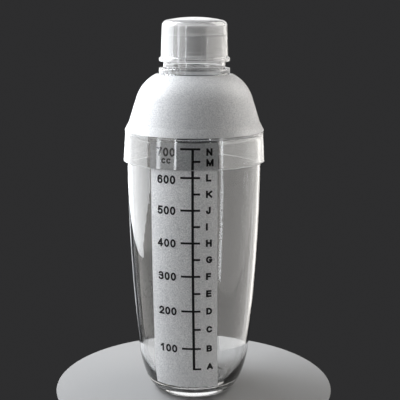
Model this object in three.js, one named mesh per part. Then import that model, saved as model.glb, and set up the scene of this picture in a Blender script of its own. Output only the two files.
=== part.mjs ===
// A clear resin cocktail and bubble-tea shaker: a graduated cup, a lift-off shoulder with a strainer in
// its neck, and a small push-on cap. Millimetres, +Z up, origin at the centre of the foot, print facing -Y.
import * as THREE from "three";
import { mergeVertices } from "three/addons/utils/BufferGeometryUtils.js";

// ---- Driving dimensions ------------------------------------------------------------------------------
const SEGMENTS = 48; // facets round every turned piece, the same on all of them so that they nest
const SEAT_GAP = 0.05; // between two pieces where one rests on the other

const WALL = 2.0;
const CUP_RIM_Z = 167.5;
const CUP_RIM_R = 42.0;
const BELLY_Z = 150; // the widest height, level with the shoulder's lower edge
const BELLY_R = 42.3;
const BOW_R = 1114; // how gently the side bows in below the belly
const FLOOR_Z = 5;
const CORNER_TOP_Z = 28; // the rounded foot starts here
const CORNER_IN = 9; // how far the rounded foot turns in, outside
const INNER_CORNER_IN = 10; // and inside
const FOOT_RECESS_R = 18.5;
const FOOT_RECESS = 1;

const SKIRT_BOTTOM_Z = 150;
const SKIRT_BOTTOM_R = 44.8;
const SKIRT_TOP_Z = 168.8;
const SKIRT_TOP_R = 43.55;
const SKIRT_INNER_R = 42.8; // at its mouth
const SKIRT_INNER_TOP_R = 42.4;
const PLUG_BOTTOM_Z = 164.6; // the ring that reaches into the cup
const PLUG_OUTER_R = 39.6;
const PLUG_INNER_R = 38.2;
const CHAMFER_TOP_R = 40.8;
const CHAMFER_TOP_Z = 174;
const DOME_CENTRE_R = 13.13;
const DOME_CENTRE_Z = 181.9;
const DOME_R = 24;
const DOME_START = 17.6; // degrees above level, where the cone runs into the dome
const DOME_TOP_R = 23.4;
const COLLAR_R = 22.3;
const COLLAR_BOTTOM_Z = 203.9;
const COLLAR_TOP_Z = 207.4;
const NECK_R = 19.48;
const NECK_TOP_R = 19.1;
const NECK_TOP_Z = 227.2;
const NECK_STRAIGHT_Z = 211;
const NECK_BORE_R = 17.55;
const NECK_LIP_R = 0.75;

const STRAINER_R = 17.35;
const STRAINER_Z = 205.9;
const STRAINER_THICK = 1.5;
const STRAINER_SEAT_R = 16.5;
const STRAINER_HOLE_R = 1.9;
const STRAINER_RINGS = [
  { count: 1, radius: 0 },
  { count: 6, radius: 5.9 },
  { count: 12, radius: 11.8 },
];
const SNAP_BEAD_R = 17.2; // holds the strainer down on its seat
const SNAP_BEAD_Z = 208.15;
const SNAP_BEAD_HALF = 0.55;

const CAP_TOP_Z = 238;
const CAP_WALL = 1.9;
const CAP_MOUTH_Z = 211.1;
const CAP_MOUTH_R = 19.65;
const CAP_BORE_TOP_R = 19.25;
const CAP_FLANGE_R = 22.05;
const CAP_FLANGE_TOP_Z = 213.5;
const CAP_SIDE_BOTTOM_R = 20.8;
const CAP_SIDE_TOP_R = 20.23;
const CAP_CORNER_R = 4;
const CAP_CROWN_R = 81.5;

const PRINT_GAP = 0.05; // between the cup's side and the printed layers
const PANEL_THICK = 0.07;
const PANEL_WIDTH = 41.6;
const PANEL_COLUMNS = 13;
const PANEL_TOP_Z = 166;
const MARK_LIFT = 0.15;
const MARK_THICK = 0.07;
const MARKS = 14; // one for each 50 ml
const MARK_STEP_ML = 50;
const LAST_MARK_DROP = 2.6; // the topmost mark is printed this much under its level
const AXIS_S = 5.8; // the scale's upright line, measured round the cup from the panel's middle
const AXIS_WIDTH = 1.5;
const TICK_HEIGHT = 1.25;
const TICK_RIGHT = 4.4;
const TICK_LEFT = 7.3; // only the marks at each full 100 ml reach this way
const TICK_COLUMN = 2.2; // the widest facet of a mark

// ---- Small helpers -----------------------------------------------------------------------------------
const radians = (degrees) => (degrees * Math.PI) / 180;

const range = (count) => Array.from({ length: count }, (_, i) => i);

// Points of a circle's arc in the (radius, height) plane, both ends included.
const arc = (r, z, radius, from, to, steps) =>
  range(steps + 1).map((i) => {
    const a = radians(from + ((to - from) * i) / steps);
    return [r + radius * Math.cos(a), z + radius * Math.sin(a)];
  });

const evenly = (from, to, steps) => range(steps + 1).map((i) => from + ((to - from) * i) / steps);

// A profile of [radius, height] points turned about Z: outside upwards, inside downwards.
const turned = (profile) =>
  new THREE.LatheGeometry(
    profile.map(([r, z]) => new THREE.Vector2(r, z)),
    SEGMENTS,
  ).rotateX(Math.PI / 2);

const clear = (roughness, opacity) =>
  new THREE.MeshStandardMaterial({
    color: 0xdfe4e6,
    roughness,
    metalness: 0,
    transparent: true,
    opacity,
  });

const piece = (name, geometry, material) => {
  const mesh = new THREE.Mesh(geometry, material);
  mesh.name = name;
  return mesh;
};

// ---- The cup -----------------------------------------------------------------------------------------
// The bowed side without its rounded foot. Above the belly it leans in a little towards the rim.
const sideRadius = (z) =>
  z < BELLY_Z
    ? BELLY_R - (BELLY_Z - z) ** 2 / (2 * BOW_R)
    : BELLY_R - ((BELLY_R - CUP_RIM_R) * (z - BELLY_Z)) / (CUP_RIM_Z - BELLY_Z);

// A quarter ellipse that rounds the side into the level at base.
const cornerInset = (z, base, depth) => {
  const reach = Math.min(Math.max((CORNER_TOP_Z - z) / (CORNER_TOP_Z - base), 0), 1);
  return depth * (1 - Math.sqrt(1 - reach * reach));
};

const outerRadius = (z) => sideRadius(z) - cornerInset(z, 0, CORNER_IN);
const innerRadius = (z) => sideRadius(z) - WALL - cornerInset(z, FLOOR_Z, INNER_CORNER_IN);

// Heights where the cup's outline has its points: close together round the corner, wide apart above it.
const CORNER_STEPS = 9;
const SIDE_STEPS = 12;
const LIP_Z = CUP_RIM_Z - WALL / 2;
const cupHeights = (base) => [
  ...range(CORNER_STEPS).map((i) => {
    const turn = Math.sin(radians(90 * (1 - i / CORNER_STEPS)));
    return CORNER_TOP_Z - (CORNER_TOP_Z - base) * turn;
  }),
  ...evenly(CORNER_TOP_Z, BELLY_Z, SIDE_STEPS),
];

function cup() {
  const outside = [...cupHeights(0), LIP_Z].map((z) => [outerRadius(z), z]);
  const inside = [...cupHeights(FLOOR_Z), LIP_Z].map((z) => [innerRadius(z), z]);
  const lip = arc(outerRadius(LIP_Z) - WALL / 2, LIP_Z, WALL / 2, 0, 180, 6).slice(1, -1);
  const profile = [
    [0, FOOT_RECESS],
    [FOOT_RECESS_R - FOOT_RECESS, FOOT_RECESS],
    [FOOT_RECESS_R, 0],
    ...outside,
    ...lip,
    ...inside.reverse(),
    [0, FLOOR_Z],
  ];
  return piece("cup", turned(profile), clear(0.05, 0.35));
}

// ---- The printed scale -------------------------------------------------------------------------------
// The height up to which the cup holds a volume, found by adding thin level slices.
function fillHeight(millilitres) {
  const slice = 0.05;
  let z = FLOOR_Z;
  for (let held = 0; held < millilitres * 1000; z += slice) {
    held += Math.PI * innerRadius(z + slice / 2) ** 2 * slice;
  }
  return z;
}

// A point on the cup's side: s is measured round it from the middle of the print, lift is off its surface.
const onCup = (s, z, lift) => {
  const turn = s / outerRadius(z);
  const r = outerRadius(z) + lift;
  return [r * Math.sin(turn), -r * Math.cos(turn), z];
};

// A thin layer wrapped on the cup, made of the filled cells of a grid.
function layer(sLines, zLines, isFilled, lift, thick) {
  const positions = [];
  const quad = (a, b, c, d) => [a, b, c, a, c, d].forEach((p) => positions.push(...p));
  const filled = (i, j) =>
    i >= 0 && j >= 0 && i < sLines.length - 1 && j < zLines.length - 1 && isFilled(i, j);
  range(sLines.length - 1).forEach((i) =>
    range(zLines.length - 1).forEach((j) => {
      if (!filled(i, j)) return;
      const at = (di, dj, out) => onCup(sLines[i + di], zLines[j + dj], lift + out * thick);
      quad(at(0, 0, 1), at(1, 0, 1), at(1, 1, 1), at(0, 1, 1));
      quad(at(0, 0, 0), at(0, 1, 0), at(1, 1, 0), at(1, 0, 0));
      if (!filled(i - 1, j)) quad(at(0, 0, 0), at(0, 0, 1), at(0, 1, 1), at(0, 1, 0));
      if (!filled(i + 1, j)) quad(at(1, 0, 0), at(1, 1, 0), at(1, 1, 1), at(1, 0, 1));
      if (!filled(i, j - 1)) quad(at(0, 0, 0), at(1, 0, 0), at(1, 0, 1), at(0, 0, 1));
      if (!filled(i, j + 1)) quad(at(0, 1, 0), at(0, 1, 1), at(1, 1, 1), at(1, 1, 0));
    }),
  );
  const geometry = new THREE.BufferGeometry();
  geometry.setAttribute("position", new THREE.Float32BufferAttribute(positions, 3));
  const closed = mergeVertices(geometry, 1e-4);
  closed.computeVertexNormals();
  return closed;
}

// The frosted panel that the scale is printed on.
const PANEL_FIRST_HEIGHT = 5; // which of the cup's heights it starts from
function scalePanel() {
  const heights = cupHeights(0).slice(PANEL_FIRST_HEIGHT);
  const zLines = [...heights, (BELLY_Z + PANEL_TOP_Z) / 2, PANEL_TOP_Z];
  const sLines = evenly(-PANEL_WIDTH / 2, PANEL_WIDTH / 2, PANEL_COLUMNS);
  const geometry = layer(sLines, zLines, () => true, PRINT_GAP, PANEL_THICK);
  const material = new THREE.MeshStandardMaterial({
    color: 0xc4c7c9,
    roughness: 0.8,
    transparent: true,
    opacity: 0.6,
  });
  return piece("scale_panel", geometry, material);
}

// The black upright line and its marks, long at every second one.
function scaleMarks() {
  const levels = range(MARKS).map((i) => fillHeight(MARK_STEP_ML * (i + 1)));
  levels[MARKS - 1] -= LAST_MARK_DROP;
  const half = AXIS_WIDTH / 2;
  const leftSteps = Math.ceil((TICK_LEFT - half) / TICK_COLUMN);
  const rightSteps = Math.ceil((TICK_RIGHT - half) / TICK_COLUMN);
  const sLines = [
    ...evenly(-TICK_LEFT, -half, leftSteps),
    ...evenly(half, TICK_RIGHT, rightSteps),
  ].map((s) => AXIS_S + s);
  const edges = levels.flatMap((z) => [z - TICK_HEIGHT / 2, z + TICK_HEIGHT / 2]);
  const zLines = [...edges, CORNER_TOP_Z].sort((a, b) => a - b);
  const isFilled = (i, j) => {
    if (i === leftSteps) return true; // the upright line
    const middle = (zLines[j] + zLines[j + 1]) / 2;
    const mark = levels.findIndex((z) => Math.abs(z - middle) < TICK_HEIGHT / 2);
    if (mark < 0) return false;
    return i > leftSteps || mark % 2 === 1;
  };
  const geometry = layer(sLines, zLines, isFilled, MARK_LIFT, MARK_THICK);
  const material = new THREE.MeshStandardMaterial({ color: 0x111113, roughness: 0.6 });
  return piece("scale_marks", geometry, material);
}

// ---- The shoulder ------------------------------------------------------------------------------------
function shoulder() {
  const domeTop = THREE.MathUtils.radToDeg(Math.acos((DOME_TOP_R - DOME_CENTRE_R) / DOME_R));
  const insideR = DOME_R - WALL;
  const insideTop = THREE.MathUtils.radToDeg(
    Math.acos((STRAINER_SEAT_R - DOME_CENTRE_R) / insideR),
  );
  const lipZ = NECK_TOP_Z - NECK_LIP_R;
  const ledgeZ = CUP_RIM_Z + SEAT_GAP;
  const seatZ = STRAINER_Z - SEAT_GAP;
  const edge = 0.4; // how far its free edges are rounded
  const profile = [
    [SKIRT_BOTTOM_R - edge, SKIRT_BOTTOM_Z],
    [SKIRT_BOTTOM_R, SKIRT_BOTTOM_Z + edge],
    [SKIRT_TOP_R, SKIRT_TOP_Z],
    [SKIRT_TOP_R - edge, SKIRT_TOP_Z + 2 * edge],
    [CHAMFER_TOP_R, CHAMFER_TOP_Z],
    ...arc(DOME_CENTRE_R, DOME_CENTRE_Z, DOME_R, DOME_START, domeTop, 8),
    [COLLAR_R + edge, COLLAR_BOTTOM_Z],
    [COLLAR_R, COLLAR_BOTTOM_Z + edge],
    [COLLAR_R, COLLAR_TOP_Z - edge],
    [COLLAR_R - edge, COLLAR_TOP_Z],
    [NECK_R + edge, COLLAR_TOP_Z + edge / 2],
    [NECK_R, COLLAR_TOP_Z + 2 * edge],
    [NECK_R, NECK_STRAIGHT_Z],
    ...arc(NECK_TOP_R - NECK_LIP_R, lipZ, NECK_LIP_R, 0, 180, 6),
    [NECK_BORE_R, SNAP_BEAD_Z + SNAP_BEAD_HALF],
    [SNAP_BEAD_R, SNAP_BEAD_Z],
    [NECK_BORE_R, SNAP_BEAD_Z - SNAP_BEAD_HALF],
    [NECK_BORE_R, seatZ],
    [STRAINER_SEAT_R, seatZ],
    ...arc(DOME_CENTRE_R, DOME_CENTRE_Z, insideR, insideTop, DOME_START, 8),
    [CHAMFER_TOP_R - WALL, CHAMFER_TOP_Z - edge],
    [PLUG_INNER_R, CHAMFER_TOP_Z - WALL],
    [PLUG_INNER_R, PLUG_BOTTOM_Z + edge],
    [PLUG_INNER_R + edge, PLUG_BOTTOM_Z],
    [PLUG_OUTER_R - edge, PLUG_BOTTOM_Z],
    [PLUG_OUTER_R, PLUG_BOTTOM_Z + edge],
    [PLUG_OUTER_R, ledgeZ],
    [SKIRT_INNER_TOP_R, ledgeZ],
    [SKIRT_INNER_R, SKIRT_BOTTOM_Z + edge],
    [SKIRT_INNER_R + edge, SKIRT_BOTTOM_Z],
  ];
  return piece("shoulder", turned([...profile, profile[0]]), clear(0.45, 0.6));
}

// ---- The strainer ------------------------------------------------------------------------------------
function strainer() {
  const disc = new THREE.Shape().absarc(0, 0, STRAINER_R, 0, 2 * Math.PI);
  STRAINER_RINGS.forEach(({ count, radius }) =>
    range(count).forEach((i) => {
      const turn = (2 * Math.PI * i) / count;
      const [x, y] = [radius * Math.cos(turn), radius * Math.sin(turn)];
      disc.holes.push(new THREE.Path().absarc(x, y, STRAINER_HOLE_R, 0, 2 * Math.PI, true));
    }),
  );
  const geometry = new THREE.ExtrudeGeometry(disc, {
    depth: STRAINER_THICK,
    curveSegments: 6,
    bevelEnabled: false,
  });
  const plate = piece("strainer", geometry, clear(0.1, 0.4));
  plate.position.z = STRAINER_Z;
  return plate;
}

// ---- The cap -----------------------------------------------------------------------------------------
// The crown is a shallow sphere; the corner that joins it to the side touches both.
function cap() {
  const crownZ = CAP_TOP_Z - CAP_CROWN_R;
  const cornerCentreR = CAP_SIDE_TOP_R - CAP_CORNER_R;
  const crownLean = Math.asin(cornerCentreR / (CAP_CROWN_R - CAP_CORNER_R));
  const cornerCentreZ = crownZ + (CAP_CROWN_R - CAP_CORNER_R) * Math.cos(crownLean);
  const crownStart = 90 - THREE.MathUtils.radToDeg(crownLean);
  const corner = (radius) => arc(cornerCentreR, cornerCentreZ, radius, 0, crownStart, 5);
  const crown = (radius) => arc(0, crownZ, radius, crownStart, 90, 4).slice(1);
  const onAxis = (points) => points.map(([r, z]) => [Math.max(r, 0) < 1e-6 ? 0 : r, z]);
  const outside = onAxis([...corner(CAP_CORNER_R), ...crown(CAP_CROWN_R)]);
  const inside = onAxis([
    ...corner(CAP_CORNER_R - CAP_WALL),
    ...crown(CAP_CROWN_R - CAP_WALL),
  ]).reverse();
  const ledgeZ = NECK_TOP_Z + SEAT_GAP;
  const edge = 0.3;
  const profile = [
    ...inside,
    [CAP_SIDE_TOP_R - CAP_WALL, ledgeZ],
    [CAP_BORE_TOP_R, ledgeZ],
    [CAP_MOUTH_R, CAP_MOUTH_Z + edge],
    [CAP_MOUTH_R + edge, CAP_MOUTH_Z],
    [CAP_FLANGE_R - edge, CAP_MOUTH_Z],
    [CAP_FLANGE_R, CAP_MOUTH_Z + edge],
    [CAP_FLANGE_R, CAP_FLANGE_TOP_Z - edge],
    [CAP_FLANGE_R - edge, CAP_FLANGE_TOP_Z],
    [CAP_SIDE_BOTTOM_R + edge, CAP_FLANGE_TOP_Z + edge],
    [CAP_SIDE_BOTTOM_R, CAP_FLANGE_TOP_Z + 4 * edge],
    ...outside,
  ];
  return piece("cap", turned(profile), clear(0.08, 0.4));
}

// ---- The shaker, as it comes apart: what lifts off together is in one group --------------------------
const shaker = new THREE.Group();
const graduatedCup = new THREE.Group().add(cup(), scalePanel(), scaleMarks());
const strainerShoulder = new THREE.Group().add(shoulder(), strainer());
shaker.add(graduatedCup, strainerShoulder, cap());

export default shaker;
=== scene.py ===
"""The looks of a clear resin shaker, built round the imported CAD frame: a graduated cup, a frosted shoulder
with a strainer in its neck, and a small milky cap. Profiles are in millimetres; the meshes are in metres."""

import math

import bmesh
import bpy
from mathutils import Matrix, Vector
from mathutils.geometry import delaunay_2d_cdt, intersect_point_tri_2d

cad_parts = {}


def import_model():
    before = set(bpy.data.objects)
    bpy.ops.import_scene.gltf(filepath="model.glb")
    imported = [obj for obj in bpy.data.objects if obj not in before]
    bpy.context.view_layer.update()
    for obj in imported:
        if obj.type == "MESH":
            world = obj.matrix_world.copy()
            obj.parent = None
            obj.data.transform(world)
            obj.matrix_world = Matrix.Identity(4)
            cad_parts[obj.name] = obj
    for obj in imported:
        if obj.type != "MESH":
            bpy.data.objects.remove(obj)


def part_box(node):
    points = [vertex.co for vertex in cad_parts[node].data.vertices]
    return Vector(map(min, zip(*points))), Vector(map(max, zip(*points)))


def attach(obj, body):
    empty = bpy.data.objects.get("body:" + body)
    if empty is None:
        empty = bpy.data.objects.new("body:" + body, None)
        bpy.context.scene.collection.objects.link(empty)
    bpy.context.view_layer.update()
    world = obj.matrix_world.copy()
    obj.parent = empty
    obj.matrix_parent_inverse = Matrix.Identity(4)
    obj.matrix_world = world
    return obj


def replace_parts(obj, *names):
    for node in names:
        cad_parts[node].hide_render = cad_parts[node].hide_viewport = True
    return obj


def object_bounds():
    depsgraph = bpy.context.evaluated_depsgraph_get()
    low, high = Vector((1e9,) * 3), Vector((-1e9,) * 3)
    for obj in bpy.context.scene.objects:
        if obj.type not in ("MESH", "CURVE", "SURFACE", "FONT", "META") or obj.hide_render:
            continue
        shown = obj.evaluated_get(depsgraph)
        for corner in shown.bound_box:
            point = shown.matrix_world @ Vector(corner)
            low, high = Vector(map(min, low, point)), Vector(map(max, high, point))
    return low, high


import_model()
cad_low, cad_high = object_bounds()

# ---- Driving dimensions, in millimetres ---------------------------------------------------------------
MM = 0.001
FACETS = 144  # round every turned piece

FULL_HEIGHT = cad_high.z / MM
CUP_RIM_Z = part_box("cup")[1].z / MM
BELLY_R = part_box("cup")[1].x / MM
SKIRT_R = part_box("shoulder")[1].x / MM
SKIRT_BOTTOM_Z = 150.0
NECK_TOP_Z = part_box("shoulder")[1].z / MM
CAP_MOUTH_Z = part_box("cap")[0].z / MM
CAP_FLANGE_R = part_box("cap")[1].x / MM
STRAINER_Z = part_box("strainer")[0].z / MM
STRAINER_TOP_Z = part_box("strainer")[1].z / MM
STRAINER_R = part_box("strainer")[1].x / MM
PANEL_Z = (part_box("scale_panel")[0].z / MM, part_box("scale_panel")[1].z / MM)
SEAT_GAP = 0.05

WALL = 2.0
RIM_R = BELLY_R - 0.3
BOW_R = 1114
FLOOR_Z = 5.0
CORNER_TOP_Z = 28.0
CORNER_IN = 9.0
INNER_CORNER_IN = 10.0
FOOT_RECESS_R = 18.5
FOOT_RECESS = 1.0
FOOT_RECESS_SLOPE = 1.2
FOOT_EASE = 0.6
FOOT_RING = 2


# ---- Profiles -----------------------------------------------------------------------------------------
def arc(r, z, radius, start, end, steps):
    """Points of a circle's arc in the (radius, height) plane, angles in degrees above level."""
    turns = [math.radians(start + (end - start) * i / steps) for i in range(steps + 1)]
    return [(r + radius * math.cos(a), z + radius * math.sin(a)) for a in turns]


def evenly(start, end, steps):
    return [start + (end - start) * i / steps for i in range(steps + 1)]


def eased(points, steps=5):
    """A profile whose corners are rounded: a point with a third number is a corner of that radius."""
    made = []
    for i, point in enumerate(points):
        if len(point) < 3:
            made.append(point)
            continue
        here = Vector(point[:2])
        before = (Vector(points[i - 1][:2]) - here).normalized()
        after = (Vector(points[(i + 1) % len(points)][:2]) - here).normalized()
        half = before.angle(after) / 2
        reach = point[2] / math.tan(half)
        centre = here + (before + after).normalized() * point[2] / math.sin(half)
        first = here + before * reach - centre
        last = here + after * reach - centre
        sweep = first.angle_signed(last)
        for step in range(steps + 1):
            spoke = Matrix.Rotation(-sweep * step / steps, 2) @ first
            made.append(tuple(centre + spoke))
    return made


def side_radius(z):
    """The cup's bowed side, without its rounded foot."""
    if z < SKIRT_BOTTOM_Z:
        return BELLY_R - (SKIRT_BOTTOM_Z - z) ** 2 / (2 * BOW_R)
    return BELLY_R + (RIM_R - BELLY_R) * (z - SKIRT_BOTTOM_Z) / (CUP_RIM_Z - SKIRT_BOTTOM_Z)


def corner_inset(z, base, depth):
    """A quarter ellipse that rounds the side into the level at base."""
    reach = min(max((CORNER_TOP_Z - z) / (CORNER_TOP_Z - base), 0), 1)
    return depth * (1 - math.sqrt(1 - reach * reach))


def outer_radius(z):
    return side_radius(z) - corner_inset(z, 0, CORNER_IN)


def inner_radius(z):
    return side_radius(z) - WALL - corner_inset(z, FLOOR_Z, INNER_CORNER_IN)


def cup_heights(base, corner_steps=22, side_steps=36):
    """Heights of the cup's profile points: close together round the corner, wide apart above it."""
    rise = CORNER_TOP_Z - base
    turns = [math.radians(90 * i / corner_steps) for i in range(corner_steps)]
    corner = [CORNER_TOP_Z - rise * math.cos(a) for a in turns]
    return corner + evenly(CORNER_TOP_Z, CUP_RIM_Z - WALL / 2, side_steps)


def cup_profile():
    outside = [(outer_radius(z), z) for z in cup_heights(0)]
    inside = [(inner_radius(z), z) for z in cup_heights(FLOOR_Z)]
    lip_z = CUP_RIM_Z - WALL / 2
    lip = arc(outer_radius(lip_z) - WALL / 2, lip_z, WALL / 2, 0, 180, 14)[1:-1]
    foot = eased([
        (0, FOOT_RECESS),
        (FOOT_RECESS_R - FOOT_RECESS_SLOPE, FOOT_RECESS, FOOT_EASE),
        (FOOT_RECESS_R, 0, FOOT_EASE),
        (FOOT_RECESS_R + FOOT_RING, 0),
    ])
    return foot + outside + lip + inside[::-1] + [(0, FLOOR_Z)]


DOME_CENTRE = (13.13, 181.9)
DOME_R = 24.0
DOME_START = 17.6
DOME_TOP_R = 23.4
DOME_TOP = math.degrees(math.acos((DOME_TOP_R - DOME_CENTRE[0]) / DOME_R))
COLLAR_R = 22.3
COLLAR_Z = (203.9, 207.4)
NECK_R = 19.48
NECK_TOP_R = 19.1
NECK_BORE_R = 17.55
NECK_LIP_R = 0.75
NECK_STRAIGHT_Z = 211.0
SEAT_R = 16.5
SNAP_BEAD = (17.2, 208.15)
SNAP_BEAD_HALF = 0.55
SNAP_BEAD_RELIEF = 0.9
CHAMFER_TOP = (40.8, 174.0)
PLUG_R = (38.2, 39.6)
PLUG_BOTTOM_Z = 164.6
SKIRT_INNER_R = (42.8, 42.4)
SKIRT_TOP = (43.55, 168.8)


def snap_bead():
    """The small swelling in the bore that holds the strainer down, from its top to its foot."""
    bead_r, bead_z = SNAP_BEAD
    made = []
    for degrees in (-180, -120, -60, 0, 60, 120, 180):
        angle = math.radians(degrees)
        r = bead_r + (NECK_BORE_R - bead_r) * (1 - math.cos(angle)) / 2
        made.append((r, bead_z - SNAP_BEAD_HALF * math.sin(angle / 2)))
    return made


def shoulder_profile():
    """The shoulder's section, each corner followed by the radius that rounds it."""
    ledge_z = CUP_RIM_Z + SEAT_GAP
    seat_z = STRAINER_Z - SEAT_GAP
    inside_top = math.degrees(math.acos((SEAT_R - DOME_CENTRE[0]) / (DOME_R - WALL)))
    lip_z = NECK_TOP_Z - NECK_LIP_R
    outline = [
        (SKIRT_R, SKIRT_BOTTOM_Z, 0.5),
        (SKIRT_TOP[0], SKIRT_TOP[1], 0.7),
        (CHAMFER_TOP[0], CHAMFER_TOP[1], 3.0),
        *arc(*DOME_CENTRE, DOME_R, DOME_START, DOME_TOP, 36),
        (COLLAR_R + 0.3, COLLAR_Z[0] - 0.1),
        (COLLAR_R, COLLAR_Z[0] + 0.3, 0.2),
        (COLLAR_R, COLLAR_Z[1], 0.9),
        (NECK_R + 0.1, COLLAR_Z[1] + 0.2, 0.5),
        (NECK_R, NECK_STRAIGHT_Z),
        *arc(NECK_TOP_R - NECK_LIP_R, lip_z, NECK_LIP_R, 0, 180, 12),
        (NECK_BORE_R, SNAP_BEAD[1] + SNAP_BEAD_RELIEF),
        *snap_bead(),
        (NECK_BORE_R, seat_z, 0.1),
        (SEAT_R, seat_z, 0.15),
        *arc(*DOME_CENTRE, DOME_R - WALL, inside_top, DOME_START, 36),
        (CHAMFER_TOP[0] - WALL, CHAMFER_TOP[1] - 0.4, 2.0),
        (PLUG_R[0], CHAMFER_TOP[1] - WALL, 1.5),
        (PLUG_R[0], PLUG_BOTTOM_Z, 0.55),
        (PLUG_R[1], PLUG_BOTTOM_Z, 0.55),
        (PLUG_R[1], ledge_z, 0.15),
        (SKIRT_INNER_R[1], ledge_z, 0.4),
        (SKIRT_INNER_R[0], SKIRT_BOTTOM_Z, 0.5),
    ]
    return eased(outline)


CAP_WALL = 1.9
CAP_MOUTH_R = 19.65
CAP_BORE_TOP_R = 19.25
CAP_FLANGE_TOP_Z = 213.5
CAP_SIDE_R = (20.8, 20.23)
CAP_CORNER_R = 4.0
CAP_CROWN_R = 81.5


def cap_profile():
    """The cap's section, each corner followed by the radius that rounds it."""
    crown_z = FULL_HEIGHT - CAP_CROWN_R
    corner_r = CAP_SIDE_R[1] - CAP_CORNER_R
    lean = math.asin(corner_r / (CAP_CROWN_R - CAP_CORNER_R))
    corner_z = crown_z + (CAP_CROWN_R - CAP_CORNER_R) * math.cos(lean)
    level = 90 - math.degrees(lean)

    def shell(inset):
        corner = arc(corner_r, corner_z, CAP_CORNER_R - inset, 0, level, 14)
        return corner + arc(0, crown_z, CAP_CROWN_R - inset, level, 90, 16)[1:-1]

    ledge_z = NECK_TOP_Z + SEAT_GAP
    outline = [
        (0, FULL_HEIGHT - CAP_WALL),
        *shell(CAP_WALL)[::-1],
        (CAP_SIDE_R[1] - CAP_WALL, ledge_z, 0.3),
        (CAP_BORE_TOP_R, ledge_z, 0.2),
        (CAP_MOUTH_R, CAP_MOUTH_Z, 0.3),
        (CAP_FLANGE_R, CAP_MOUTH_Z, 0.6),
        (CAP_FLANGE_R, CAP_FLANGE_TOP_Z, 0.7),
        (CAP_SIDE_R[0] + 0.1, CAP_FLANGE_TOP_Z + 0.1, 1.2),
        *shell(0),
        (0, FULL_HEIGHT),
    ]
    return eased(outline)


# ---- Meshes -------------------------------------------------------------------------------------------
def new_object(name, mesh, materials):
    thing = bpy.data.objects.new(name, mesh)
    bpy.context.scene.collection.objects.link(thing)
    for material in materials:
        mesh.materials.append(material)
    return thing


SHARP_EDGE = math.radians(35)


def from_bmesh(name, shape, materials):
    mesh = bpy.data.meshes.new(name)
    shape.to_mesh(mesh)
    shape.free()
    mesh.shade_smooth()
    mesh.set_sharp_from_angle(angle=SHARP_EDGE)
    return new_object(name, mesh, materials)


def first_slot(r, z):
    """One material all over, wherever the band is."""
    return 0


def turned(name, profile, materials, slot_of=first_slot, closed=False):
    """A profile turned about the axis. slot_of says which material the band at (r, z) takes."""
    shape = bmesh.new()
    rings = []
    for r, z in profile:
        count = 1 if r < 1e-6 else FACETS
        turns = [2 * math.pi * i / FACETS for i in range(count)]
        places = [(r * math.sin(a) * MM, -r * math.cos(a) * MM, z * MM) for a in turns]
        rings.append([shape.verts.new(place_at) for place_at in places])
    bands = len(rings) if closed else len(rings) - 1
    for here in range(bands):
        after = (here + 1) % len(rings)
        low = rings[here]
        high = rings[after]
        middle_r = (profile[here][0] + profile[after][0]) / 2
        middle_z = (profile[here][1] + profile[after][1]) / 2
        slot = slot_of(middle_r, middle_z)
        for i in range(FACETS):
            j = (i + 1) % FACETS
            corners = [low[i % len(low)], low[j % len(low)], high[j % len(high)], high[i % len(high)]]
            face = shape.faces.new(list(dict.fromkeys(corners)))
            face.material_index = slot
    return from_bmesh(name, shape, materials)


def on_cup(s, z, lift):
    """A point on the cup's side: s mm round it from the print's middle, lift mm off its surface."""
    turn = s / outer_radius(z)
    r = outer_radius(z) + lift
    return Vector((r * math.sin(turn), -r * math.cos(turn), z)) * MM


STRAINER_HOLE_R = 1.9
STRAINER_RINGS = ((1, 0), (6, 5.9), (12, 11.8))  # how many holes, and how far from the middle
STRAINER_EDGE = 0.15


def strainer_plate(name, materials):
    """A flat disc with rounded edges and rings of round holes, filled from its outline curves."""
    curve = bpy.data.curves.new(name, "CURVE")
    curve.dimensions = "2D"
    curve.fill_mode = "BOTH"
    thick = STRAINER_TOP_Z - STRAINER_Z
    curve.extrude = (thick / 2 - STRAINER_EDGE) * MM
    curve.bevel_depth = STRAINER_EDGE * MM
    curve.bevel_resolution = 2
    rounds = [(0, 0, STRAINER_R - STRAINER_EDGE, 96)]
    for count, ring in STRAINER_RINGS:
        for i in range(count):
            a = 2 * math.pi * i / count
            rounds.append((ring * math.cos(a), ring * math.sin(a), STRAINER_HOLE_R + STRAINER_EDGE, 32))
    for x, y, radius, count in rounds:
        spline = curve.splines.new("POLY")
        spline.points.add(count - 1)
        spline.use_cyclic_u = True
        for i, point in enumerate(spline.points):
            a = 2 * math.pi * i / count
            point.co = ((x + radius * math.cos(a)) * MM, (y + radius * math.sin(a)) * MM, 0, 1)
    source = bpy.data.objects.new(name + "_outline", curve)
    bpy.context.scene.collection.objects.link(source)
    bpy.context.view_layer.update()
    mesh = bpy.data.meshes.new_from_object(source.evaluated_get(bpy.context.evaluated_depsgraph_get()))
    bpy.data.objects.remove(source)
    shape = bmesh.new()
    shape.from_mesh(mesh)
    bmesh.ops.remove_doubles(shape, verts=shape.verts, dist=0.001 * MM)
    middle_z = (STRAINER_Z + STRAINER_TOP_Z) / 2
    bmesh.ops.translate(shape, verts=shape.verts, vec=(0, 0, middle_z * MM))
    return from_bmesh(name, shape, materials)


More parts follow.
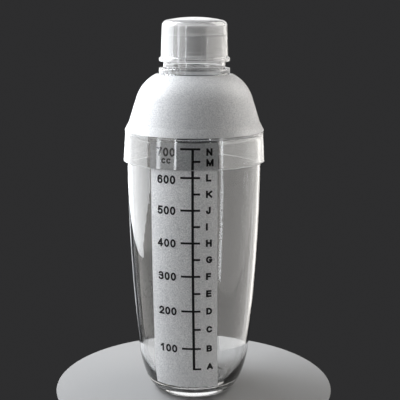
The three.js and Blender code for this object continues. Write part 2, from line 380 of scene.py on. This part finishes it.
def wrapped_sheet(name, width, heights, columns, lift, thick, materials):
    """A thin closed layer wrapped on the cup's side."""
    shape = bmesh.new()
    across = evenly(-width / 2, width / 2, columns)
    under = [[shape.verts.new(on_cup(s, z, lift)) for z in heights] for s in across]
    over = [[shape.verts.new(on_cup(s, z, lift + thick)) for z in heights] for s in across]
    rows = len(heights) - 1
    for i in range(columns):
        for j in range(rows):
            shape.faces.new((over[i][j], over[i + 1][j], over[i + 1][j + 1], over[i][j + 1]))
            shape.faces.new((under[i][j], under[i][j + 1], under[i + 1][j + 1], under[i + 1][j]))
    for j in range(rows):
        shape.faces.new((under[0][j], over[0][j], over[0][j + 1], under[0][j + 1]))
        shape.faces.new((under[-1][j], under[-1][j + 1], over[-1][j + 1], over[-1][j]))
    for i in range(columns):
        shape.faces.new((under[i][0], under[i + 1][0], over[i + 1][0], over[i][0]))
        shape.faces.new((under[i][-1], over[i][-1], over[i + 1][-1], under[i + 1][-1]))
    bmesh.ops.recalc_face_normals(shape, faces=shape.faces)
    return from_bmesh(name, shape, materials)


# ---- Materials ----------------------------------------------------------------------------------------
def new_material(name):
    material = bpy.data.materials.new(name)
    material.use_nodes = True
    tree = material.node_tree
    return material, tree, tree.nodes["Principled BSDF"]


def noise(tree, size, detail):
    """A noise whose features are about size millimetres wide, in the object's own coordinates."""
    where = tree.nodes.new("ShaderNodeTexCoord")
    node = tree.nodes.new("ShaderNodeTexNoise")
    node.inputs["Scale"].default_value = 1 / (size * MM)
    node.inputs["Detail"].default_value = detail
    tree.links.new(where.outputs["Object"], node.inputs["Vector"])
    return node.outputs["Fac"]


NOISE_RANGE = (0.3, 0.7)  # nearly all of a noise lies between these


def spread(tree, value, low, high):
    """A noise's value, spread from low to high."""
    node = tree.nodes.new("ShaderNodeMapRange")
    node.inputs["To Min"].default_value = low
    node.inputs["To Max"].default_value = high
    node.inputs["From Min"].default_value = NOISE_RANGE[0]
    node.inputs["From Max"].default_value = NOISE_RANGE[1]
    tree.links.new(value, node.inputs["Value"])
    return node.outputs["Result"]


def roughened(tree, shader, value, low, high):
    """A roughness that goes from low to high with a noise's value."""
    tree.links.new(spread(tree, value, low, high), shader.inputs["Roughness"])


def bumped(tree, shader, value, height):
    """A bump from a noise's value, height millimetres deep."""
    node = tree.nodes.new("ShaderNodeBump")
    node.inputs["Strength"].default_value = 1.0
    node.inputs["Distance"].default_value = height * MM
    tree.links.new(value, node.inputs["Height"])
    tree.links.new(node.outputs["Normal"], shader.inputs["Normal"])


RESIN_IOR = 1.55
CAP_IOR = 1.5
FROST_PRINT_IOR = 1.3
GRAIN_SIZE = 0.6


def grain(tree, shader, dark, light):
    """Fine speckle in a surface's colour, as a blasted or screened finish shows."""
    speckle = tree.nodes.new("ShaderNodeMix")
    speckle.data_type = "RGBA"
    speckle.inputs["A"].default_value = dark
    speckle.inputs["B"].default_value = light
    tree.links.new(spread(tree, noise(tree, GRAIN_SIZE, 1), 0.0, 1.0), speckle.inputs["Factor"])
    tree.links.new(speckle.outputs["Result"], shader.inputs["Base Color"])


def clear_resin():
    """Polished resin with the slight waviness of a moulding."""
    material, tree, shader = new_material("clear_resin")
    shader.inputs["Base Color"].default_value = (0.985, 0.99, 0.992, 1)
    shader.inputs["Transmission Weight"].default_value = 1.0
    shader.inputs["IOR"].default_value = RESIN_IOR
    roughened(tree, shader, noise(tree, 9, 3), 0.0, 0.05)
    bumped(tree, shader, noise(tree, 22, 1), 0.12)
    return material


def hazy_resin():
    """The cap's softer, milkier resin."""
    material, tree, shader = new_material("hazy_resin")
    shader.inputs["Base Color"].default_value = (0.99, 0.99, 0.99, 1)
    shader.inputs["Transmission Weight"].default_value = 0.78
    shader.inputs["IOR"].default_value = CAP_IOR
    roughened(tree, shader, noise(tree, 5, 3), 0.02, 0.06)
    bumped(tree, shader, noise(tree, 12, 2), 0.1)
    return material


def frosted_resin():
    """Resin blasted to an even white haze."""
    material, tree, shader = new_material("frosted_resin")
    grain(tree, shader, (0.52, 0.53, 0.55, 1), (0.95, 0.95, 0.95, 1))
    shader.inputs["Transmission Weight"].default_value = 0.55
    shader.inputs["IOR"].default_value = RESIN_IOR
    roughened(tree, shader, noise(tree, 0.9, 2), 0.34, 0.62)
    bumped(tree, shader, noise(tree, GRAIN_SIZE, 1), 0.1)
    return material


def scale_frost():
    """The frosted print behind the scale."""
    material, tree, shader = new_material("scale_frost")
    grain(tree, shader, (0.6, 0.61, 0.625, 1), (1.0, 1.0, 1.0, 1))
    shader.inputs["Transmission Weight"].default_value = 0.25
    shader.inputs["IOR"].default_value = FROST_PRINT_IOR
    roughened(tree, shader, noise(tree, 0.8, 2), 0.5, 0.75)
    bumped(tree, shader, noise(tree, GRAIN_SIZE, 1), 0.05)
    return material


def scale_ink():
    material, tree, shader = new_material("scale_ink")
    colour = tree.nodes.new("ShaderNodeMix")
    colour.data_type = "RGBA"
    colour.inputs["A"].default_value = (0.005, 0.005, 0.006, 1)
    colour.inputs["B"].default_value = (0.012, 0.012, 0.013, 1)
    tree.links.new(noise(tree, 1.5, 2), colour.inputs["Factor"])
    tree.links.new(colour.outputs["Result"], shader.inputs["Base Color"])
    shader.inputs["Roughness"].default_value = 0.6
    shader.inputs["Specular IOR Level"].default_value = 0.2
    return material


CLEAR = clear_resin()
HAZY = hazy_resin()
FROSTED = frosted_resin()
FROST_PRINT = scale_frost()
INK = scale_ink()


# ---- The pieces ---------------------------------------------------------------------------------------
def place(thing, body, slot, *nodes):
    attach(thing, body)
    if nodes:
        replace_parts(thing, *nodes)


FROST_Z = (169.1, 203.9)
FROST_INNER_R = 23
FOOT_PAINTED_HIGHLIGHT = 0.35  # the skirt's foot edge is whitened this far up, a painted highlight for the bright line light makes along that edge
CONE_TOP_Z = 189.9
CONE_INSIDE_R = 37.9  # lies inside the cone's wall at CHAMFER_TOP's height
CONE_INSIDE_SLOPE = 0.32


def frost_and_painted_highlight_band(r, z):
    """Picks the frosted resin for the dome's outside and both sides of the cone under it, and the clear
    resin for the rest; the edge of the skirt's foot also takes the frosted resin, as a painted highlight."""
    # painted highlight: the frosted resin whitens the clear skirt's foot edge so it shows as a bright lit
    # line
    if r > SKIRT_INNER_R[0] and z < SKIRT_BOTTOM_Z + FOOT_PAINTED_HIGHLIGHT:
        return 1
    outside = r > FROST_INNER_R and FROST_Z[0] < z < FROST_Z[1]
    on_dome = math.hypot(r - DOME_CENTRE[0], z - DOME_CENTRE[1]) > DOME_R - WALL / 2
    inside_r = CONE_INSIDE_R - (z - CHAMFER_TOP[1]) * CONE_INSIDE_SLOPE
    on_cone = z < CONE_TOP_Z and r > inside_r
    return 1 if outside and (on_dome or on_cone) else 0


place(turned("cup_shell", cup_profile(), [CLEAR]), "cup", "clear_resin", "cup")
place(turned("shoulder_shell", shoulder_profile(), [CLEAR, FROSTED], frost_and_painted_highlight_band, closed=True),
      "shoulder", "frosted_resin", "shoulder")
place(turned("cap_shell", cap_profile(), [HAZY]), "cap", "clear_resin", "cap")
place(strainer_plate("strainer_plate", [CLEAR]), "shoulder", "clear_resin", "strainer")


# ---- The printed scale --------------------------------------------------------------------------------
PANEL_WIDTH = 41.6
PANEL_COLUMNS = 40
PRINT_GAP = 0.05
PRINT_THICK = 0.07
INK_LIFT = 0.15
LETTERS = "ABCDEFGHIJKLMN"
UNIT = "cc"
AXIS_S = 5.8
AXIS_WIDTH = 1.5
TICK_HEIGHT = 1.25
TICK_RIGHT = 4.4
TICK_LEFT = 7.3
MARKS = 14
MARK_STEP_ML = 50
LAST_MARK_DROP = 2.6  # the topmost mark is printed this much under its level
FIGURE_HEIGHT = 5.2
FIGURE_RIGHT_S = -4.5
FIGURE_RISE = {"600": -1.4, "700": -2.1}
USUAL_FIGURE_RISE = -0.45
FIGURE_WEIGHT = 1.05
UNIT_HEIGHT = 3.2
UNIT_WEIGHT = 0.85
UNIT_INSET = 2.5
LETTER_HEIGHT = 4.4
LETTER_WEIGHT = 1.15
LETTER_S = 13.7
LETTER_RISE = {"A": 1.6, "M": -0.65, "N": -1.7}


def fill_height(millilitres):
    """The height up to which the cup holds a volume, found by adding thin level slices."""
    slice_z = 0.05
    z = FLOOR_Z
    held = 0.0
    while held < millilitres * 1000:
        held += math.pi * inner_radius(z + slice_z / 2) ** 2 * slice_z
        z += slice_z
    return z


LEVELS = [fill_height(MARK_STEP_ML * (i + 1)) for i in range(MARKS)]
LEVELS[-1] -= LAST_MARK_DROP


def cut_along(shape, point, normal, trim=False):
    """Cuts a shape's faces along a plane, and drops what is in front of it if trim is set."""
    everything = shape.verts[:] + shape.edges[:] + shape.faces[:]
    bmesh.ops.bisect_plane(
        shape, geom=everything, dist=1e-5, plane_co=point, plane_no=normal, clear_outer=trim
    )


def wrap_flat(shape, lift, step=1.0):
    """Bends a flat shape, x round the cup and y up it in millimetres, on to the cup's side."""
    for axis in (Vector((1, 0, 0)), Vector((0, 1, 0))):
        along = [v.co.dot(axis) for v in shape.verts]
        for i in range(math.ceil(min(along) / step), math.floor(max(along) / step) + 1):
            cut_along(shape, axis * i * step, axis)
    for vert in shape.verts:
        vert.co = on_cup(vert.co.x, vert.co.y, lift + vert.co.z)


def thickened(shape, thick):
    """Gives a flat shape a thickness, closed all round."""
    made = bmesh.ops.extrude_face_region(shape, geom=shape.faces[:], use_keep_orig=True)
    top = [v for v in made["geom"] if isinstance(v, bmesh.types.BMVert)]
    bmesh.ops.translate(shape, verts=top, vec=(0, 0, thick))
    bmesh.ops.recalc_face_normals(shape, faces=shape.faces)


def without_loose(shape):
    loose = [v for v in shape.verts if not v.link_faces]
    bmesh.ops.delete(shape, geom=loose, context="VERTS")


def marks_shape():
    """The upright line and its marks as one flat grid: every other mark reaches across to the figures."""
    shape = bmesh.new()
    half = AXIS_WIDTH / 2
    edges = sorted([z + side * TICK_HEIGHT / 2 for z in LEVELS for side in (-1, 1)])
    columns = [AXIS_S - TICK_LEFT, AXIS_S - half, AXIS_S + half, AXIS_S + TICK_RIGHT]
    corners = {}
    for i, s in enumerate(columns):
        for j, z in enumerate(edges):
            corners[i, j] = shape.verts.new((s, z, 0))
    for j in range(len(edges) - 1):
        is_tick = j % 2 == 0
        is_long = is_tick and (j // 2) % 2 == 1
        for i, filled in enumerate((is_long, True, is_tick)):
            if filled:
                around = ((i, j), (i + 1, j), (i + 1, j + 1), (i, j + 1))
                shape.faces.new([corners[key] for key in around])
    without_loose(shape)
    return shape


def bend(u, v, ru, rv, start, end, steps=12):
    """Points of an ellipse's arc, in a glyph's own unit square."""
    turns = [math.radians(start + (end - start) * i / steps) for i in range(steps + 1)]
    return [(u + ru * math.cos(a), v + rv * math.sin(a)) for a in turns]


# Each glyph is its width as a share of its height and the middle lines of its strokes in a unit square.
GLYPHS = {
    "A": (0.92, [[(0, 0), (0.5, 1), (1, 0)], [(0.2, 0.28), (0.8, 0.28)]]),
    "B": (0.80, [[(0, 0), (0, 1), (0.6, 1), *bend(0.6, 0.76, 0.34, 0.24, 90, -90), (0, 0.52)],
                 [(0, 0.52), (0.62, 0.52), *bend(0.62, 0.26, 0.38, 0.26, 90, -90), (0, 0)]]),
    "C": (0.88, [bend(0.5, 0.5, 0.5, 0.5, 42, 318, 22)]),
    "D": (0.84, [[(0, 0), (0, 1), (0.4, 1), *bend(0.4, 0.5, 0.6, 0.5, 90, -90, 14), (0, 0)]]),
    "E": (0.76, [[(1, 1), (0, 1), (0, 0), (1, 0)], [(0, 0.52), (0.92, 0.52)]]),
    "F": (0.72, [[(1, 1), (0, 1), (0, 0)], [(0, 0.5), (0.88, 0.5)]]),
    "G": (0.92, [[*bend(0.5, 0.5, 0.5, 0.5, 48, 325, 22), (0.97, 0.45), (0.6, 0.45)]]),
    "H": (0.82, [[(0, 0), (0, 1)], [(1, 0), (1, 1)], [(0, 0.52), (1, 0.52)]]),
    "I": (0.27, [[(0, 0), (0, 1)]]),
    "J": (0.66, [[(1, 1), (1, 0.34), *bend(0.5, 0.34, 0.5, 0.34, 0, -172)]]),
    "K": (0.88, [[(0, 0), (0, 1)], [(0.98, 1), (0.06, 0.36)], [(0.34, 0.56), (1, 0)]]),
    "L": (0.72, [[(0, 1), (0, 0), (1, 0)]]),
    "M": (0.98, [[(0, 0), (0, 1), (0.5, 0.08), (1, 1), (1, 0)]]),
    "N": (0.82, [[(0, 0), (0, 1), (1, 0), (1, 1)]]),
    "0": (0.66, [bend(0.5, 0.5, 0.5, 0.5, 0, 360, 28)]),
    "1": (0.70, [[(0.12, 0.74), (0.62, 1), (0.62, 0)]]),
    "2": (0.70, [[*bend(0.5, 0.7, 0.48, 0.3, 172, -38, 16), (0.02, 0), (1, 0)]]),
    "3": (0.68, [[*bend(0.46, 0.77, 0.46, 0.23, 155, -90), *bend(0.46, 0.27, 0.54, 0.27, 90, -155)]]),
    "4": (0.74, [[(0.72, 0), (0.72, 1), (0, 0.27), (1, 0.27)]]),
    "5": (0.68, [[(0.95, 1), (0.16, 1), (0.08, 0.52)], bend(0.46, 0.32, 0.54, 0.32, 128, -152, 16)]),
    "6": (0.68, [bend(0.5, 0.31, 0.5, 0.31, 0, 360, 22),
                 [*bend(0.52, 0.6, 0.52, 0.4, 38, 180), (0, 0.31)]]),
    "7": (0.70, [[(0, 1), (1, 1), (0.52, 0.45), (0.36, 0)]]),
    "c": (0.88, [bend(0.5, 0.5, 0.5, 0.5, 48, 312, 18)]),
}
GLYPH_GAP = 0.12  # of a glyph's height


def stroke_quads(points, half):
    """One quad for each stretch of a stroke's middle line: mitred where it turns, square at its ends."""
    line = [Vector(p) for p in points]
    line = [p for i, p in enumerate(line) if not i or (p - line[i - 1]).length > 1e-4]
    closed = (line[0] - line[-1]).length < 1e-4
    if closed:
        line = line[:-1]
    else:
        line[0] += (line[0] - line[1]).normalized() * half
        line[-1] += (line[-1] - line[-2]).normalized() * half
    count = len(line)
    sides = []
    for i, point in enumerate(line):
        into = (point - line[i - 1]).normalized() if closed or i else None
        out = (line[(i + 1) % count] - point).normalized() if closed or i < count - 1 else into
        into = into or out
        normals = Vector((-into.y, into.x)) + Vector((-out.y, out.x))
        across = normals.normalized()
        across *= half / max(across.dot(Vector((-out.y, out.x))), 0.2)
        sides.append((point + across, point - across))
    ends = range(count) if closed else range(count - 1)
    return [(sides[i][0], sides[i][1], sides[(i + 1) % count][1], sides[(i + 1) % count][0]) for i in ends]


def covers(quad, point):
    """Whether a quad holds a point."""
    a, b, c, d = quad
    return intersect_point_tri_2d(point, a, b, c) or intersect_point_tri_2d(point, a, c, d)


def glyph_shape(character, height, left, weight):
    """A flat glyph in millimetres on y = 0: the union of its strokes, cut level with its box. Its strokes
    are weight millimetres wide."""
    wide, strokes = GLYPHS[character]
    thick = weight / height
    half = thick / 2
    quads = []
    for stroke in strokes:
        placed = [(half + u * (wide - thick), half + v * (1 - thick)) for u, v in stroke]
        quads += stroke_quads(placed, half)
    corners = [corner for quad in quads for corner in quad]
    loops = [list(range(4 * i, 4 * i + 4)) for i in range(len(quads))]
    points, _, triangles, *_ = delaunay_2d_cdt(corners, [], loops, 0, 1e-4)
    shape = bmesh.new()
    verts = [shape.verts.new((v.x, v.y, 0)) for v in points]
    for triangle in triangles:
        middle = sum((points[i] for i in triangle), Vector((0, 0))) / 3
        if any(covers(quad, middle) for quad in quads):
            shape.faces.new([verts[i] for i in triangle])
    for normal, limit in (((0, 1, 0), 1), ((0, -1, 0), 0), ((1, 0, 0), wide), ((-1, 0, 0), 0)):
        cut_along(shape, Vector(normal) * limit, normal, trim=True)
    without_loose(shape)
    bmesh.ops.scale(shape, verts=shape.verts, vec=(height, height, 1))
    bmesh.ops.translate(shape, verts=shape.verts, vec=(left, 0, 0))
    return shape


def text_width(text, height):
    glyphs = sum(GLYPHS[c][0] for c in text)
    return (glyphs + GLYPH_GAP * (len(text) - 1)) * height


def text_shape(text, height, weight):
    """A line of glyphs side by side, starting at x = 0."""
    joined = bmesh.new()
    left = 0.0
    for character in text:
        glyph = glyph_shape(character, height, left, weight)
        one = bpy.data.meshes.new("glyph")
        glyph.to_mesh(one)
        glyph.free()
        joined.from_mesh(one)
        bpy.data.meshes.remove(one)
        left += (GLYPHS[character][0] + GLYPH_GAP) * height
    return joined


def printed(name, shape):
    """A flat shape as ink on the cup."""
    thickened(shape, PRINT_THICK)
    wrap_flat(shape, INK_LIFT)
    thing = from_bmesh(name, shape, [INK])
    place(thing, "cup", "scale_ink")
    return thing


def at(shape, s, z):
    """A flat shape moved s round the cup and z up it."""
    bmesh.ops.translate(shape, verts=shape.verts, vec=(s, z, 0))
    return shape


panel_heights = [z for z in cup_heights(0) if PANEL_Z[0] < z < PANEL_Z[1]]
panel_heights = [PANEL_Z[0], *panel_heights, PANEL_Z[1]]
panel = wrapped_sheet(
    "scale_panel_print", PANEL_WIDTH, panel_heights, PANEL_COLUMNS, PRINT_GAP, PRINT_THICK, [FROST_PRINT]
)
place(panel, "cup", "scale_frost", "scale_panel")
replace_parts(printed("scale_lines", marks_shape()), "scale_marks")
for index, level in enumerate(LEVELS):
    letter = LETTERS[index]
    foot = level - LETTER_HEIGHT / 2 + LETTER_RISE.get(letter, 0)
    printed("letter_" + letter, at(text_shape(letter, LETTER_HEIGHT, LETTER_WEIGHT), LETTER_S, foot))
    if index % 2:
        amount = str(MARK_STEP_ML * (index + 1))
        start = FIGURE_RIGHT_S - text_width(amount, FIGURE_HEIGHT)
        foot = level - FIGURE_HEIGHT / 2 + FIGURE_RISE.get(amount, USUAL_FIGURE_RISE)
        printed("figure_" + amount, at(text_shape(amount, FIGURE_HEIGHT, FIGURE_WEIGHT), start, foot))
unit_left = FIGURE_RIGHT_S - UNIT_INSET - text_width(UNIT, UNIT_HEIGHT)
unit = text_shape(UNIT, UNIT_HEIGHT, UNIT_WEIGHT)
printed("figure_unit", at(unit, unit_left, LEVELS[-2] - UNIT_HEIGHT / 2))


# ---- Camera, floor and lights -------------------------------------------------------------------------
CAMERA_TURN = math.radians(8.8)
CAMERA_PITCH = math.radians(11.69)
CAMERA_ROLL = math.radians(0.2)
CAMERA_DISTANCE = 0.5859
CAMERA_HEIGHT = 0.2448
CAMERA_SIDE = 0.0037
CAMERA_LENS = 84.6
CAMERA_SENSOR = 36


def camera():
    data = bpy.data.cameras.new("camera")
    data.lens = CAMERA_LENS
    data.sensor_width = CAMERA_SENSOR
    thing = bpy.data.objects.new("camera", data)
    turn = Matrix.Rotation(CAMERA_TURN, 4, "Z")
    place_at = Matrix.Translation((CAMERA_SIDE, -CAMERA_DISTANCE, CAMERA_HEIGHT))
    tilt = Matrix.Rotation(math.radians(90) - CAMERA_PITCH, 4, "X")
    thing.matrix_world = turn @ place_at @ tilt @ Matrix.Rotation(CAMERA_ROLL, 4, "Z")
    bpy.context.scene.collection.objects.link(thing)
    bpy.context.scene.camera = thing


def soft_box(name, corner, size, facing, radiance, colour, through=True):
    """A soft box as an upright sheet of light. Places are in metres on the camera's own axes: x to its
    right, y away from it, z up; corner is the sheet's lowest, leftmost or nearest corner. One that isn't
    seen through the resin doesn't fill the clear cup with its own shape in other views."""
    wide, tall = size
    data = bpy.data.lights.new(name, "AREA")
    data.shape = "RECTANGLE"
    data.size, data.size_y = size
    data.energy = radiance * math.pi * wide * tall
    data.color = colour
    thing = bpy.data.objects.new(name, data)
    along = Vector((0, 1, 0)) if abs(facing[0]) > 0.5 else Vector((1, 0, 0))
    centre = Vector(corner) + along * wide / 2 + Vector((0, 0, tall / 2))
    aim = Vector(facing).to_track_quat("-Z", "Y").to_matrix().to_4x4()
    thing.matrix_world = Matrix.Rotation(CAMERA_TURN, 4, "Z") @ Matrix.Translation(centre) @ aim
    thing.visible_camera = False
    thing.visible_transmission = through
    bpy.context.scene.collection.objects.link(thing)


FLOOR_R = 0.09
FLOOR_DROP = 0.0002


def floor():
    shape = bmesh.new()
    bmesh.ops.create_circle(shape, cap_ends=True, radius=FLOOR_R, segments=128)
    material, _, shader = new_material("pale_floor")
    shader.inputs["Base Color"].default_value = (0.23, 0.23, 0.23, 1)
    shader.inputs["Roughness"].default_value = 0.6
    thing = from_bmesh("floor", shape, [material])
    thing.location.z = -FLOOR_DROP


def world():
    made = bpy.data.worlds.new("world")
    made.use_nodes = True
    made.node_tree.nodes["Background"].inputs["Color"].default_value = (0.027, 0.027, 0.028, 1)
    bpy.context.scene.world = made


camera()
floor()
world()
DAYLIGHT = (0.93, 0.96, 1.0)
ROOM_LIGHT = (1.0, 0.97, 0.93)
WHITE = (1, 1, 1)
LEFT = -0.335
RIGHT = 0.4
BEHIND = 0.9
STEP_OUT = 0.02  # the wide, dim sheets stand this much further out than the sheets in front of them
FROM_LEFT = (1, 0, 0)
FROM_RIGHT = (-1, 0, 0)
FROM_BEHIND = (0, -1, 0)
KEY_FRONT = 0.04
KEY_RADIANCE = 4.8
SLANTS = 6
SLANT_WIDTH = 0.022
SLANT_FOOT = 0.006
SLANT_RISE = 0.012

soft_box("key", (LEFT, KEY_FRONT, -0.012), (0.66, 0.75), FROM_LEFT, KEY_RADIANCE, DAYLIGHT, through=False)
for step in range(SLANTS):  # narrow sheets with rising feet, which slant the key's front edge
    corner = (LEFT, KEY_FRONT - SLANT_WIDTH * (step + 1), SLANT_FOOT + SLANT_RISE * step)
    name = "key_slant_%d" % step
    soft_box(name, corner, (SLANT_WIDTH, 0.6), FROM_LEFT, KEY_RADIANCE, DAYLIGHT, through=False)
soft_box("key_high", (LEFT, -0.08, 0.32), (0.35, 0.6), FROM_LEFT, 9.0, DAYLIGHT, through=False)
soft_box("left_room", (LEFT - STEP_OUT, -0.7, -0.012), (1.4, 0.75), FROM_LEFT, 0.5, ROOM_LIGHT)
soft_box("window_bar", (LEFT, -0.25, 0.0), (0.05, 0.5), FROM_LEFT, 4.0, DAYLIGHT)
soft_box("window_edge", (LEFT, -0.63, 0.0), (0.07, 0.5), FROM_LEFT, 6.0, DAYLIGHT)
soft_box("left_rim", (LEFT, 0.6, -0.25), (0.2, 0.22), FROM_LEFT, 1.0, DAYLIGHT)
soft_box("right_high", (RIGHT, -0.05, 0.32), (0.5, 0.6), FROM_RIGHT, 4.5, ROOM_LIGHT, through=False)
soft_box("right_room", (RIGHT + STEP_OUT, -0.5, -0.25), (1.3, 0.55), FROM_RIGHT, 1.3, ROOM_LIGHT)
soft_box("back", (-0.5, BEHIND, 0.28), (1.0, 0.42), FROM_BEHIND, 1.1, WHITE)
bpy.context.scene.view_settings.view_transform = "Standard"
